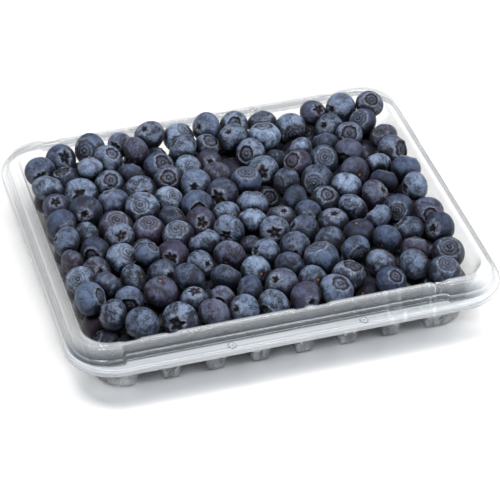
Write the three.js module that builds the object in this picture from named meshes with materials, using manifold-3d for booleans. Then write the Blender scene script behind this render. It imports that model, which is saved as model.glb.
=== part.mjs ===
// A shallow clear plastic tray with rounded corners, heaped with fresh blueberries.
// Millimetres. X runs left to right, Y front to back, Z up from the table.
// The origin is on the table under the middle of the tray.

import * as THREE from "three";
import { mergeVertices } from "three/addons/utils/BufferGeometryUtils.js";
import Module from "manifold-3d";

const wasm = await Module();
wasm.setup();

// Driving sizes of the tray
const TRAY_LENGTH = 220;
const TRAY_DEPTH = 192;
const SHEET = 0.8;
const LIP_BOTTOM_Z = 24;
const FLANGE_Z = 27.7;
const LEDGE_Z = 34.9;
const RIDGE_Z = 35.5;
const FOOT_HEIGHT = 11;

// How far each line of the tray is set in from its outer edge, at the two ends (x) and at
// the front and back (y), with the radius of its corners
const OUTER_EDGE = { x: 0, y: 0, radius: 24.5 };
const FLANGE_EDGE = { x: 0.9, y: 0.9, radius: 23.6 };
const SKIRT_FOOT = { x: 3.4, y: 6.2, radius: 18.4 };
const SKIRT_TOP = { x: 4.7, y: 8.1, radius: 16.9 };
const RIDGE_OUTSIDE = { x: 6.9, y: 10, radius: 15.4 };
const RIDGE_INSIDE = { x: 9.6, y: 12.7, radius: 13.7 };
const WALL_FOOT = { x: 14, y: 17, radius: 16 };

// The middle of the front and back is drawn in between the corner blocks
const RECESS_LEFT_X = -85;
const RECESS_RIGHT_X = 78;
const RECESS_RAMP = 1.4;
const FOOT_RECESS = 2.7;
const TOP_RECESS = 1.8;

// Ribs run front to back under the tray, and a wide plinth stands at each end
const RIB_PITCH = 22.4;
const RIB_COUNT = 6;
const FIRST_RIB_X = -58.9;
const RIB_TOP_WIDTH = 14;
const RIB_BOTTOM_WIDTH = 7.5;
const LEFT_PLINTH_X = -74;
const RIGHT_PLINTH_X = 69;
const PLINTH_STEP_Z = 7;
const PLINTH_STEP = 1.4;

// Round buttons on the flange keep stacked trays apart
const BUTTON_RADIUS = 2.3;
const BUTTON_HEIGHT = 0.6;
const BUTTON_X = 33;
const BUTTON_INSET = 3.4;

// Driving sizes of the berries
const BERRY_RADIUS = 7.65;
const BERRY_RADIUS_SPREAD = 1.25;
const BERRY_WIDTH = 1.06;
const BERRY_HEIGHT = 0.96;
const BERRY_CLEARANCE = 0.9;
const BERRY_COUNT = 280;
const POUR_HEIGHT = 60;
const SETTLE_PASSES = 220;
const SETTLE_PULL = 0.3;
const SHAKE_PASSES = 150;
const SHAKE = 0.45;
const HEAP_TOP_Z = 43.2;
const HEAP_UNEVEN = 5;
const HEAP_SLOPE_X = 0.02;
const HEAP_SLOPE_Y = 0.01;
const CORE_INSET = 4;
const CORE_MIDDLE_Z = 29.2;
const CORE_EDGE_Z = 28.2;
const SHOWING_Z = 24;
const EDGE_BERRIES = 10;

const CORNER_STEPS = 7;

// Geometry to solid and back

function toSolid(geometry) {
  const plain = geometry.clone();
  plain.deleteAttribute("normal");
  plain.deleteAttribute("uv");
  const merged = mergeVertices(plain, 1e-4);
  return new wasm.Manifold(
    new wasm.Mesh({
      numProp: 3,
      vertProperties: new Float32Array(merged.attributes.position.array),
      triVerts: new Uint32Array(merged.index.array),
    }),
  );
}

function toGeometry(solid) {
  const mesh = solid.getMesh();
  const geometry = new THREE.BufferGeometry();
  geometry.setAttribute("position", new THREE.BufferAttribute(mesh.vertProperties, 3));
  geometry.setIndex(new THREE.BufferAttribute(mesh.triVerts, 1));
  geometry.computeVertexNormals();
  return geometry;
}

function joinAll(solids) {
  let row = solids;
  while (row.length > 1) {
    const next = [];
    for (let i = 0; i < row.length; i += 2) {
      next.push(i + 1 < row.length ? row[i].add(row[i + 1]) : row[i]);
    }
    row = next;
  }
  return row[0];
}

// The largest body of a solid, without the loose scraps that a cut can leave.
function largestBody(solid) {
  const bodies = solid.decompose();
  bodies.sort((a, b) => b.volume() - a.volume());
  return bodies[0];
}

// Outlines

// A rounded rectangle at height z, set in from the tray's outer edge by line.x and line.y,
// plus grow all round. The middle of the front and back goes in by recess more.
function ring(line, z, { grow = 0, recess = 0 } = {}) {
  const halfX = TRAY_LENGTH / 2 - line.x - grow;
  const halfY = TRAY_DEPTH / 2 - line.y - grow;
  const radius = Math.max(line.radius - grow, 2);
  // A short front edge squeezes the recess together, so that it stays between the corners
  const squeeze = Math.min(1, (halfX - radius) / (Math.abs(RECESS_LEFT_X) + 0.4));
  const stops = [
    [squeeze * RECESS_LEFT_X, 0],
    [squeeze * (RECESS_LEFT_X + RECESS_RAMP), recess],
    [squeeze * (RECESS_RIGHT_X - RECESS_RAMP), recess],
    [squeeze * RECESS_RIGHT_X, 0],
  ];
  const points = [];
  const addCorner = (sideX, sideY, startAngle) => {
    for (let i = 0; i <= CORNER_STEPS; i += 1) {
      const angle = startAngle + (i / CORNER_STEPS) * (Math.PI / 2);
      points.push([
        sideX * (halfX - radius) + radius * Math.cos(angle),
        sideY * (halfY - radius) + radius * Math.sin(angle),
        z,
      ]);
    }
  };
  stops.forEach(([x, inward]) => points.push([x, -halfY + inward, z]));
  addCorner(1, -1, -Math.PI / 2);
  addCorner(1, 1, 0);
  stops.reverse().forEach(([x, inward]) => points.push([x, halfY - inward, z]));
  addCorner(-1, 1, Math.PI / 2);
  addCorner(-1, -1, Math.PI);
  return points;
}

// A line part of the way from one line of the tray to another.
function between(from, to, share) {
  return {
    x: from.x + (to.x - from.x) * share,
    y: from.y + (to.y - from.y) * share,
    radius: from.radius + (to.radius - from.radius) * share,
  };
}

// Skins

function addStrip(index, first, second, count) {
  for (let i = 0; i < count; i += 1) {
    const j = (i + 1) % count;
    index.push(first + i, first + j, second + j);
    index.push(first + i, second + j, second + i);
  }
}

function indexedGeometry(points, index) {
  const geometry = new THREE.BufferGeometry();
  geometry.setAttribute("position", new THREE.Float32BufferAttribute(points.flat(), 3));
  geometry.setIndex(index);
  return geometry;
}

// Rings stacked upwards and closed by a flat cap at each end.
function stack(rings) {
  const count = rings[0].length;
  const points = rings.flat();
  const index = [];
  for (let k = 0; k + 1 < rings.length; k += 1) {
    addStrip(index, k * count, (k + 1) * count, count);
  }
  const bottom = points.length;
  points.push([0, 0, rings[0][0][2]]);
  const top = points.length;
  points.push([0, 0, rings.at(-1)[0][2]]);
  const last = (rings.length - 1) * count;
  for (let i = 0; i < count; i += 1) {
    const j = (i + 1) % count;
    index.push(bottom, j, i);
    index.push(top, last + i, last + j);
  }
  return toSolid(indexedGeometry(points, index));
}

// Rings joined in a loop, the last one to the first, as a band that runs round the tray.
function band(rings) {
  const count = rings[0].length;
  const index = [];
  for (let k = 0; k < rings.length; k += 1) {
    addStrip(index, k * count, ((k + 1) % rings.length) * count, count);
  }
  return toSolid(indexedGeometry(rings.flat(), index));
}

// A bar with a tapered section that runs front to back, from z = bottom up to z = top.
function taperedBar(leftTop, rightTop, leftBottom, rightBottom, bottom, top) {
  const section = new THREE.Shape([
    new THREE.Vector2(leftBottom, bottom),
    new THREE.Vector2(rightBottom, bottom),
    new THREE.Vector2(rightTop, top),
    new THREE.Vector2(leftTop, top),
  ]);
  const geometry = new THREE.ExtrudeGeometry(section, {
    depth: TRAY_DEPTH,
    bevelEnabled: false,
  });
  geometry.rotateX(Math.PI / 2);
  geometry.translate(0, TRAY_DEPTH / 2, 0);
  return toSolid(geometry);
}

// Tray

// The rim: a turned-down lip, a flat flange, an upright skirt, a ledge and a raised ridge.
function rimBand() {
  const under = SHEET * 0.9;
  const upper = [
    ring(OUTER_EDGE, LIP_BOTTOM_Z),
    ring(between(OUTER_EDGE, FLANGE_EDGE, 0.4), FLANGE_Z - 0.6),
    ring(FLANGE_EDGE, FLANGE_Z),
    ring(SKIRT_FOOT, FLANGE_Z, { recess: FOOT_RECESS }),
    ring(SKIRT_TOP, LEDGE_Z, { recess: TOP_RECESS }),
    ring(RIDGE_OUTSIDE, LEDGE_Z),
    ring(between(RIDGE_OUTSIDE, RIDGE_INSIDE, 0.15), RIDGE_Z),
    ring(RIDGE_INSIDE, RIDGE_Z),
  ];
  const lower = [
    ring(RIDGE_INSIDE, RIDGE_Z - under),
    ring(RIDGE_OUTSIDE, LEDGE_Z - under),
    ring(SKIRT_TOP, LEDGE_Z - under, { grow: SHEET, recess: TOP_RECESS }),
    ring(SKIRT_FOOT, FLANGE_Z - under, { grow: SHEET, recess: FOOT_RECESS }),
    ring(FLANGE_EDGE, FLANGE_Z - under, { grow: SHEET }),
    ring(OUTER_EDGE, LIP_BOTTOM_Z, { grow: SHEET }),
  ];
  return band([...upper, ...lower]);
}

// The wall from the ridge down to the raised floor, as rings from the bottom upwards.
function wallRings(grow, bottomZ, topZ) {
  const share = (z) => (RIDGE_Z - z) / (RIDGE_Z - FOOT_HEIGHT);
  const heights = [bottomZ, (bottomZ + RIDGE_Z) / 2, RIDGE_Z];
  const rings = heights.map((z) => ring(between(RIDGE_INSIDE, WALL_FOOT, share(z)), z, { grow }));
  if (topZ > RIDGE_Z) rings.push(ring(RIDGE_INSIDE, topZ, { grow }));
  return rings;
}

// The stretch under the raised floor, stepped in near the table.
function baseRings(grow, bottomZ, topZ) {
  const stepIn = grow + PLINTH_STEP;
  return [
    ring(WALL_FOOT, bottomZ, { grow: stepIn + 1.6 }),
    ring(WALL_FOOT, bottomZ + 0.8, { grow: stepIn + 0.8 }),
    ring(WALL_FOOT, PLINTH_STEP_Z - 0.3, { grow: stepIn }),
    ring(WALL_FOOT, PLINTH_STEP_Z + 0.5, { grow }),
    ring(WALL_FOOT, topZ, { grow }),
  ];
}

// Bars that cut the base into ribs and end plinths. narrow draws their sides in.
function footBars(narrow, bottom, top) {
  const end = TRAY_LENGTH / 2;
  const bars = [];
  const slope = (RIB_TOP_WIDTH - RIB_BOTTOM_WIDTH) / 2;
  for (let i = 0; i < RIB_COUNT; i += 1) {
    const x = FIRST_RIB_X + i * RIB_PITCH;
    const atTop = RIB_TOP_WIDTH / 2 - narrow;
    const atBottom = RIB_BOTTOM_WIDTH / 2 - narrow;
    bars.push(taperedBar(x - atTop, x + atTop, x - atBottom, x + atBottom, bottom, top));
  }
  const leftInner = LEFT_PLINTH_X - narrow;
  const rightInner = RIGHT_PLINTH_X + narrow;
  bars.push(taperedBar(-end, leftInner, -end, leftInner - slope, bottom, top));
  bars.push(taperedBar(rightInner, end, rightInner + slope, end, bottom, top));
  return joinAll(bars);
}

function flangeButtons() {
  const buttons = [];
  for (const sideX of [-1, 1]) {
    for (const sideY of [-1, 1]) {
      const geometry = new THREE.CylinderGeometry(
        BUTTON_RADIUS * 0.8,
        BUTTON_RADIUS,
        BUTTON_HEIGHT + SHEET / 2,
        12,
      );
      geometry.rotateX(Math.PI / 2);
      geometry.translate(
        sideX * BUTTON_X,
        sideY * (TRAY_DEPTH / 2 - BUTTON_INSET),
        FLANGE_Z + (BUTTON_HEIGHT - SHEET / 2) / 2,
      );
      buttons.push(toSolid(geometry));
    }
  }
  return joinAll(buttons);
}

function traySolid() {
  const overlap = 0.5;
  const outerWall = stack(wallRings(-SHEET, FOOT_HEIGHT, RIDGE_Z));
  const outerBase = stack(baseRings(-SHEET, 0, FOOT_HEIGHT + overlap));
  const outerFeet = outerBase.intersect(footBars(0, -1, FOOT_HEIGHT + overlap));
  const innerWall = stack(wallRings(0, FOOT_HEIGHT + SHEET, RIDGE_Z + 2));
  const innerBase = stack(baseRings(0, SHEET, FOOT_HEIGHT + SHEET + overlap));
  const innerFeet = innerBase.intersect(footBars(SHEET, -1, FOOT_HEIGHT + SHEET + overlap));
  const outside = joinAll([outerWall, outerFeet, rimBand(), flangeButtons()]);
  return largestBody(outside.subtract(innerWall.add(innerFeet)));
}

// Berries

// A repeatable draw between 0 and 1.
let drawState = 777;
function draw() {
  drawState = (drawState * 48271) % 2147483647;
  return drawState / 2147483647;
}

// Berries poured loosely over the whole tray, each with its own size.
function pourBerries(floorZ) {
  const reachX = TRAY_LENGTH / 2 - WALL_FOOT.x - BERRY_RADIUS;
  const reachY = TRAY_DEPTH / 2 - WALL_FOOT.y - BERRY_RADIUS;
  const berries = [];
  for (let i = 0; i < BERRY_COUNT; i += 1) {
    const radius = BERRY_RADIUS + BERRY_RADIUS_SPREAD * (draw() + draw() + draw() - 1.5);
    const x = reachX * (2 * draw() - 1);
    const y = reachY * (2 * draw() - 1);
    const z = floorZ + BERRY_RADIUS + (POUR_HEIGHT * i) / BERRY_COUNT;
    const sunk = HEAP_UNEVEN * draw();
    berries.push({ x, y, z, radius, sunk });
  }
  return berries;
}

// Moves a berry back inside the tray's wall, which leans out towards the ridge.
function keepInside(berry) {
  let share = (RIDGE_Z - berry.z) / (RIDGE_Z - FOOT_HEIGHT);
  if (share < 0) share = 0;
  const insetX = RIDGE_INSIDE.x + (WALL_FOOT.x - RIDGE_INSIDE.x) * share;
  const insetY = RIDGE_INSIDE.y + (WALL_FOOT.y - RIDGE_INSIDE.y) * share;
  const corner = RIDGE_INSIDE.radius + (WALL_FOOT.radius - RIDGE_INSIDE.radius) * share;
  const room = berry.radius + BERRY_CLEARANCE;
  const limitX = TRAY_LENGTH / 2 - insetX - room;
  const limitY = TRAY_DEPTH / 2 - insetY - room;
  if (berry.x > limitX) berry.x = limitX;
  if (berry.x < -limitX) berry.x = -limitX;
  if (berry.y > limitY) berry.y = limitY;
  if (berry.y < -limitY) berry.y = -limitY;
  const turn = corner - room;
  const sideX = berry.x < 0 ? -1 : 1;
  const sideY = berry.y < 0 ? -1 : 1;
  const pastX = berry.x * sideX - (limitX - turn);
  const pastY = berry.y * sideY - (limitY - turn);
  if (pastX > 0 && pastY > 0) {
    const reach = Math.sqrt(pastX * pastX + pastY * pastY);
    if (reach > turn) {
      berry.x = sideX * (limitX - turn + (pastX * turn) / reach);
      berry.y = sideY * (limitY - turn + (pastY * turn) / reach);
    }
  }
}

// Pushes two berries apart where they overlap.
function pushApart(a, b) {
  const reach = a.radius + b.radius;
  const dx = b.x - a.x;
  if (dx > reach || dx < -reach) return;
  const dy = b.y - a.y;
  if (dy > reach || dy < -reach) return;
  const dz = b.z - a.z;
  const squared = dx * dx + dy * dy + dz * dz;
  if (squared >= reach * reach || squared === 0) return;
  const distance = Math.sqrt(squared);
  const push = (reach - distance) / distance / 2;
  a.x -= dx * push;
  a.y -= dy * push;
  a.z -= dz * push;
  b.x += dx * push;
  b.y += dy * push;
  b.z += dz * push;
}

// Lets the berries sink and roll until they rest on each other and on the floor. The tray
// is shaken at first, and the heap is patted down, a little higher at the back left. Each
// berry on top is sunk by its own share below the heap's highest level.
function settle(berries, floorZ) {
  for (let pass = 0; pass < SETTLE_PASSES; pass += 1) {
    const shake = pass < SHAKE_PASSES ? SHAKE : 0;
    for (const berry of berries) {
      berry.z -= SETTLE_PULL;
      berry.x += shake * (2 * draw() - 1);
      berry.y += shake * (2 * draw() - 1);
    }
    for (let i = 0; i < berries.length; i += 1) {
      for (let j = i + 1; j < berries.length; j += 1) pushApart(berries[i], berries[j]);
    }
    for (const berry of berries) {
      const level = HEAP_TOP_Z - HEAP_SLOPE_X * berry.x + HEAP_SLOPE_Y * berry.y;
      const highest = level - berry.radius - berry.sunk;
      const lowest = floorZ + berry.radius;
      if (berry.z > highest) berry.z = highest;
      if (berry.z < lowest) berry.z = lowest;
      keepInside(berry);
    }
  }
  return berries;
}

// The heap under the berries that show: a block that follows the wall, higher in its middle.
function heapCore(floorZ) {
  const inside = (z) => {
    const share = (RIDGE_Z - z) / (RIDGE_Z - FOOT_HEIGHT);
    return between(RIDGE_INSIDE, WALL_FOOT, share);
  };
  return stack([
    ring(inside(floorZ), floorZ, { grow: CORE_INSET }),
    ring(inside(CORE_EDGE_Z), CORE_EDGE_Z, { grow: CORE_INSET }),
    ring(inside(CORE_EDGE_Z), (CORE_EDGE_Z + CORE_MIDDLE_Z) / 2, { grow: CORE_INSET * 2 }),
    ring(inside(CORE_EDGE_Z), CORE_MIDDLE_Z, { grow: CORE_INSET * 4 }),
  ]);
}

// A berry with few sides, a little flat along its own axis, turned its own way. The ones
// low down behind the wall have fewer sides than those on top.
function berrySolid(berry) {
  const onTop = berry.z > SHOWING_Z;
  const geometry = new THREE.SphereGeometry(berry.radius, onTop ? 7 : 6, onTop ? 4 : 3);
  geometry.scale(BERRY_WIDTH, BERRY_HEIGHT, BERRY_WIDTH);
  geometry.rotateX(Math.PI * draw());
  geometry.rotateZ(Math.PI * 2 * draw());
  geometry.translate(berry.x, berry.y, berry.z);
  return toSolid(geometry);
}

// A berry shows where it stands out of the core's top or out of its sides.
function shows(berry) {
  const besideX = Math.abs(berry.x) > TRAY_LENGTH / 2 - WALL_FOOT.x - EDGE_BERRIES;
  const besideY = Math.abs(berry.y) > TRAY_DEPTH / 2 - WALL_FOOT.y - EDGE_BERRIES;
  return berry.z > SHOWING_Z || besideX || besideY;
}

function berriesSolid() {
  const floorZ = FOOT_HEIGHT + SHEET + BERRY_CLEARANCE;
  const berries = settle(pourBerries(floorZ), floorZ).filter(shows);
  return largestBody(joinAll([heapCore(floorZ), ...berries.map(berrySolid)]));
}

// Materials

function clearPlastic() {
  return new THREE.MeshStandardMaterial({
    color: 0xe9edf0,
    roughness: 0.08,
    metalness: 0,
    transparent: true,
    opacity: 0.35,
  });
}

function blueberrySkin() {
  return new THREE.MeshStandardMaterial({ color: 0x3b455d, roughness: 0.62, metalness: 0 });
}

function namedMesh(name, solid, material) {
  const mesh = new THREE.Mesh(toGeometry(solid), material);
  mesh.name = name;
  return mesh;
}

const punnet = new THREE.Group();
punnet.add(namedMesh("tray", traySolid(), clearPlastic()));
punnet.add(namedMesh("berries", berriesSolid(), blueberrySkin()));

export default punnet;
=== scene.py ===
# %% [markdown]
# # A punnet of fresh blueberries
# A shallow clear plastic tray, heaped with blueberries. The imported part gives the exact
# sizes: a tray 220 mm long, 192 mm deep and 35.5 mm tall, and a heap that stands a little
# above its rim. This notebook builds the visible tray and every berry around that frame.
# We start by loading the frame and listing its parts.

import math

import bpy
import numpy as np
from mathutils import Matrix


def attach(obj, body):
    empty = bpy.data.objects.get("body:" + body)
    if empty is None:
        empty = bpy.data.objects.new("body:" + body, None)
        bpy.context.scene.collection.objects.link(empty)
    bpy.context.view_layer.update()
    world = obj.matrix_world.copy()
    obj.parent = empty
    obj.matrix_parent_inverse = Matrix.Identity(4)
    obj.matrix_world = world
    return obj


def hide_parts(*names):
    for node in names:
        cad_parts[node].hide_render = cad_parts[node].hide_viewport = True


MM = 0.001
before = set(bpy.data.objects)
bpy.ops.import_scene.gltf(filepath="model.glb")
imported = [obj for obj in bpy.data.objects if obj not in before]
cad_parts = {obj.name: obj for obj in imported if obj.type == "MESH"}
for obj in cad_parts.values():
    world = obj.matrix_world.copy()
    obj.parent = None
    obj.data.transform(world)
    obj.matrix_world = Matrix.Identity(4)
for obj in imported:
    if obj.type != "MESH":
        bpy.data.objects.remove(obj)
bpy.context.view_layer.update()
print("frame nodes:", sorted(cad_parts))

# %% [markdown]
# ## The camera
# A product shot like this is taken from well back with a long lens, so that the tray's far
# side is hardly smaller than its near side. Its corners on the photo give the camera's
# place and angles. The focal length is in pixels of a 500 pixel frame, and Blender wants
# millimetres on its 36 mm sensor.

# %% Camera
CAMERA_PLACE = (-262.2, -890.4, 733.2)
CAMERA_YAW = 16.62
CAMERA_PITCH = 38.0
FOCAL_PIXELS = 2296
PHOTO_PIXELS = 500
SENSOR = 36

lens = bpy.data.cameras.new("camera")
lens.sensor_width = SENSOR
lens.lens = FOCAL_PIXELS / PHOTO_PIXELS * SENSOR
lens.clip_end = 20
camera = bpy.data.objects.new("camera", lens)
camera.location = [v * MM for v in CAMERA_PLACE]
camera.rotation_euler = (math.radians(90 - CAMERA_PITCH), 0, math.radians(-CAMERA_YAW))
bpy.context.scene.collection.objects.link(camera)
bpy.context.scene.camera = camera
print(f"camera: {lens.lens:.0f} mm lens, {CAMERA_PITCH} degrees above the table")

# %% [markdown]
# ## The tray's outline
# The tray is one sheet of clear plastic, sucked down over a mould. Every level of it is a
# rounded rectangle, so one function can draw them all. A level is described by six numbers:
# how far it is set in at the ends and at the front, its corner radius, its height, how far
# the long sides are drawn in between the corner blocks, and how deep the rim's notches
# bite. Keeping the same number of points on each level lets us join level to level.

# %% Outline of the tray
TRAY_LENGTH = 220
TRAY_DEPTH = 192
CORNER_STEPS = 12
FRONT_STEP = 1.25
FLOOR_STRAIGHT = 80
RECESS_LEFT_X = -85
RECESS_RIGHT_X = 78
RECESS_RAMP = 1.4
RIB_PITCH = 22.4
RIB_COUNT = 6
FIRST_RIB_X = -58.9
RIB_TOP = 13.2
RIB_BOTTOM = 6.7

rib_centres = FIRST_RIB_X + RIB_PITCH * np.arange(RIB_COUNT)


def front_columns():
    """Places along the straight front of the floor, close together where a rib bends."""
    bends = [c + side * half for c in rib_centres for side in (-1, 1)
             for half in (RIB_BOTTOM / 2, (RIB_BOTTOM + RIB_TOP) / 4, RIB_TOP / 2)]
    even = np.arange(-FLOOR_STRAIGHT, FLOOR_STRAIGHT + 0.01, FRONT_STEP)
    clear = [x for x in even if min(abs(x - bend) for bend in bends) > FRONT_STEP / 2]
    return np.array(sorted(clear + bends)) / FLOOR_STRAIGHT


straight = front_columns()
arc = np.linspace(0, math.pi / 2, CORNER_STEPS + 1)[1:]
column_share = np.concatenate([-np.ones(len(arc)), straight, np.ones(len(arc))])
column_turn = np.concatenate([-arc[::-1], np.zeros(len(straight)), arc])


def column_line(level):
    """x of every column, and how far the outline is from the middle there."""
    inset_x, inset_y, corner = level[:3]
    x = column_share * (TRAY_LENGTH / 2 - inset_x - corner) + corner * np.sin(column_turn)
    half = TRAY_DEPTH / 2 - inset_y - corner + corner * np.cos(column_turn)
    return x, half


print(f"outline: {len(column_share)} columns")

# %% [markdown]
# ## Notches and recesses
# The long sides aren't plain. Between the corner blocks the skirt is drawn in by a couple
# of millimetres, a few narrow upright seams stand out from it, and the top bead has shallow
# notches. All of them depend only on how far along the side we are, so each is a smooth
# step in x.

# %% Notches and recesses
NOTCHES = ((-85, -75), (-63, -56.5), (-0.5, 7), (10, 18.5), (70, 78.5))
NOTCH_RAMP = 1.5
SEAMS = (46.2, 53.5, 68.3)
SEAM_HALF = 1
SEAM_RAMP = 0.7
SEAM_RISE = 0.15


def smooth_step(value):
    """0 below 0, 1 above 1 and an easy curve between."""
    value = np.clip(value, 0, 1)
    return value * value * (3 - 2 * value)


def span(x, left, right, ramp):
    """1 between left and right, falling to 0 over ramp on either side."""
    return smooth_step((x - left) / ramp) * smooth_step((right - x) / ramp)


def seam_share(x):
    """1 on the skirt's seams, 0 between them."""
    return np.maximum.reduce([span(x, a - SEAM_HALF, a + SEAM_HALF, SEAM_RAMP) for a in SEAMS])


def level_points(level):
    """The closed outline of one level, as points in millimetres, anticlockwise from above."""
    inset_x, inset_y, corner, height, recess, notch = level[:6]
    x, half = column_line(level)
    inward = recess * span(x, RECESS_LEFT_X, RECESS_RIGHT_X, RECESS_RAMP)
    inward -= SEAM_RISE * recess * seam_share(x)
    dip = notch * np.maximum.reduce([span(x, a, b, NOTCH_RAMP) for a, b in NOTCHES])
    front = np.stack([x, -half + inward, height - dip], 1)
    back = front[::-1] * (1, -1, 1)
    end_half = half[-1]
    y = -end_half + 2 * end_half * row_share[1:-1]
    end_x = np.full(len(y), TRAY_LENGTH / 2 - inset_x)
    right = np.stack([end_x, y, np.full(len(y), height)], 1)
    left = right[::-1] * (-1, 1, 1)
    return np.concatenate([front, right, back, left])


# %% [markdown]
# ## The rim's section
# Cut the rim through and you see: a turned-down lip, a flat flange, a narrow groove, a
# tall skirt with a small step at its foot, a ledge, a raised bead, and then the inner wall
# that leans in towards the floor. Thermoformed plastic has no sharp bends, so each bend of
# the section is swapped for a short curve. The curve uses the bend and a point on either
# side of it, which is a quadratic Bezier curve. Two more numbers go along for the material:
# how milky the sheet stays there (the mould stretches the walls thin and clear, but hardly
# touches the flange), and how much painted shade darkens it along its creases and bends.

# %% Section of the rim
BEND_STEPS = 4
BEND_MOST = 0.45
FLOOR_Z = 11.6
FLOOR_LEVEL = (14, 17, 16, FLOOR_Z, 0, 0, 0, 0.08, 0)
RIM_LEVELS = (
    # inset at ends, inset at front, corner radius, height, recess, notch depth, bend size,
    # milky, painted shade at creases
    (0.0, 0.0, 24.5, 24.0, 0, 0, 0, 1.3, 0.3),
    (0.3, 0.3, 24.2, 26.8, 0, 0, 0, 1.3, 0.0),
    (0.7, 0.7, 23.8, 27.7, 0, 0, 0.8, 1.1, 0.0),
    (2.1, 4.1, 20.2, 27.6, 1.8, 0, 0.5, 0.9, 0.0),
    (2.4, 4.5, 19.9, 27.0, 2.0, 0, 0.35, 0.25, 1.0),
    (2.9, 5.3, 19.2, 27.1, 2.5, 0, 0.35, 0.20, 1.0),
    (3.2, 5.6, 18.9, 29.3, 2.5, 0, 0.5, 0.15, 0.2),
    (3.7, 6.5, 18.1, 29.5, 2.6, 0, 0.5, 0.12, 0.9),
    (4.6, 7.9, 17.0, 34.9, 1.8, 0, 0.7, 0.38, 0.0),
    (6.8, 9.9, 15.5, 34.8, 0, 0, 0.5, 0.6, 0.2),
    (7.1, 10.3, 15.2, 35.5, 0, 1.0, 0.4, 0.7, 0.0),
    (9.3, 12.4, 13.9, 35.5, 0, 1.0, 0.7, 0.6, 0.0),
    (9.9, 13.0, 13.9, 34.0, 0, 0.4, 0.6, 0.25, 0.1),
)


def rounded_section(corners):
    """The section's levels, with each bend swapped for a short curve."""
    levels = [corners[0]]
    for before, bend, after in zip(corners, corners[1:], corners[2:]):
        here = np.array(bend, float)
        back = np.array(before, float) - here
        ahead = np.array(after, float) - here
        back *= min(BEND_MOST, bend[6] / math.hypot(back[1], back[3]))
        ahead *= min(BEND_MOST, bend[6] / math.hypot(ahead[1], ahead[3]))
        for share in np.linspace(0, 1, BEND_STEPS):
            levels.append(here + back * (1 - share) ** 2 + ahead * share ** 2)
    return levels


WALL_LEVELS = 8
rim_section = rounded_section(RIM_LEVELS + (FLOOR_LEVEL,))
wall_top = np.array(rim_section[-1], float)
wall = [wall_top + (np.array(FLOOR_LEVEL, float) - wall_top) * share
        for share in np.linspace(0, 1, WALL_LEVELS + 1)[1:]]
tray_levels = rim_section + wall
print(f"rim and wall: {len(tray_levels)} levels")

# %% [markdown]
# ## The ribbed floor
# Six channels run front to back under the berries, and a wide plinth stands at each end.
# They make the thin sheet stiff and keep the fruit off the table. The floor is a grid: its
# columns are the outline's columns, so that it meets the wall point for point. How far a
# grid point drops is the channel's shape across, times a curve that falls steeply just
# inside the wall, with the small step that the photo shows low on each channel's end.

# %% Floor
LEFT_PLINTH_X = -74
RIGHT_PLINTH_X = 69
SHEET = 0.4
END_STEPS = 64
STEEP_ROWS = 1.3
END_CURVE_IN = (0, 0.35, 0.5, 1.5, 1.9, 2.3, 3.2)
END_CURVE_DROP = (0, 3.4, 4.3, 4.9, 9.8, 10.9, FLOOR_Z - SHEET)


def channel(x):
    """1 in a channel or plinth, 0 on the raised strips between them."""
    slope = (RIB_TOP - RIB_BOTTOM) / 2
    near = np.min(np.abs(x[..., None] - rib_centres), axis=-1)
    ribs = np.clip((RIB_TOP / 2 - near) / slope, 0, 1)
    left = np.clip((LEFT_PLINTH_X - x) / slope, 0, 1)
    right = np.clip((x - RIGHT_PLINTH_X) / slope, 0, 1)
    return smooth_step(np.maximum(ribs, np.maximum(left, right)))


def distance_inside(x, y, level):
    """How far a point of the floor is from its outline."""
    inset_x, inset_y, corner = level[:3]
    past_x = np.abs(x) - (TRAY_LENGTH / 2 - inset_x - corner)
    past_y = np.abs(y) - (TRAY_DEPTH / 2 - inset_y - corner)
    outside = np.hypot(np.maximum(past_x, 0), np.maximum(past_y, 0))
    return corner - outside - np.minimum(np.maximum(past_x, past_y), 0)


def end_rows():
    """Rows of the floor: close together at both ends, where the channels drop."""
    depth = TRAY_DEPTH - 2 * FLOOR_LEVEL[1]
    near = np.array(END_CURVE_IN) / depth
    middle = np.linspace(0, 1, END_STEPS + 1)
    steep = near[-1] * STEEP_ROWS
    middle = middle[(middle > steep) & (middle < 1 - steep)]
    return np.concatenate([near, middle, 1 - near[::-1]])


row_share = end_rows()


def floor_grid():
    """The floor's points, column by column, with the outline's own points as its edge."""
    x, half = column_line(FLOOR_LEVEL)
    y = -half[:, None] + 2 * half[:, None] * row_share[None, :]
    x = np.repeat(x[:, None], len(row_share), 1)
    inside = distance_inside(x, y, FLOOR_LEVEL)
    drop = channel(x) * np.interp(inside, END_CURVE_IN, END_CURVE_DROP)
    return np.stack([x, y, FLOOR_Z - drop], -1)


grid = floor_grid()
print(f"floor: {grid.shape[0]} x {grid.shape[1]} points, lowest {grid[..., 2].min():.2f} mm")

# %% [markdown]
# ## Joining the sheet
# Now the levels are joined by rings of four-sided faces, and the floor's grid hangs from
# the last level. That gives a skin with no thickness, which is how you would draw it. The
# real sheet is about 0.4 mm thick, and the Solidify modifier adds that underneath. With
# thickness, the edges catch light as real plastic does. Every point also keeps three marks
# for its material: how milky the sheet is there, how much painted shade darkens its creases,
# and how wrinkled it is.

# %% Sheet of the tray


def ring_faces(level_count, around):
    """Faces between each level and the next."""
    start = np.arange(around)
    follow = (start + 1) % around
    return [(k * around + a, k * around + b, (k + 1) * around + b, (k + 1) * around + a)
            for k in range(level_count - 1) for a, b in zip(start, follow)]


def grid_faces(numbers):
    """Faces of a grid, from the numbers of its points."""
    a, b = numbers[:-1, :-1].ravel(), numbers[1:, :-1].ravel()
    c, d = numbers[1:, 1:].ravel(), numbers[:-1, 1:].ravel()
    return list(zip(a.tolist(), b.tolist(), c.tolist(), d.tolist()))


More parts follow.
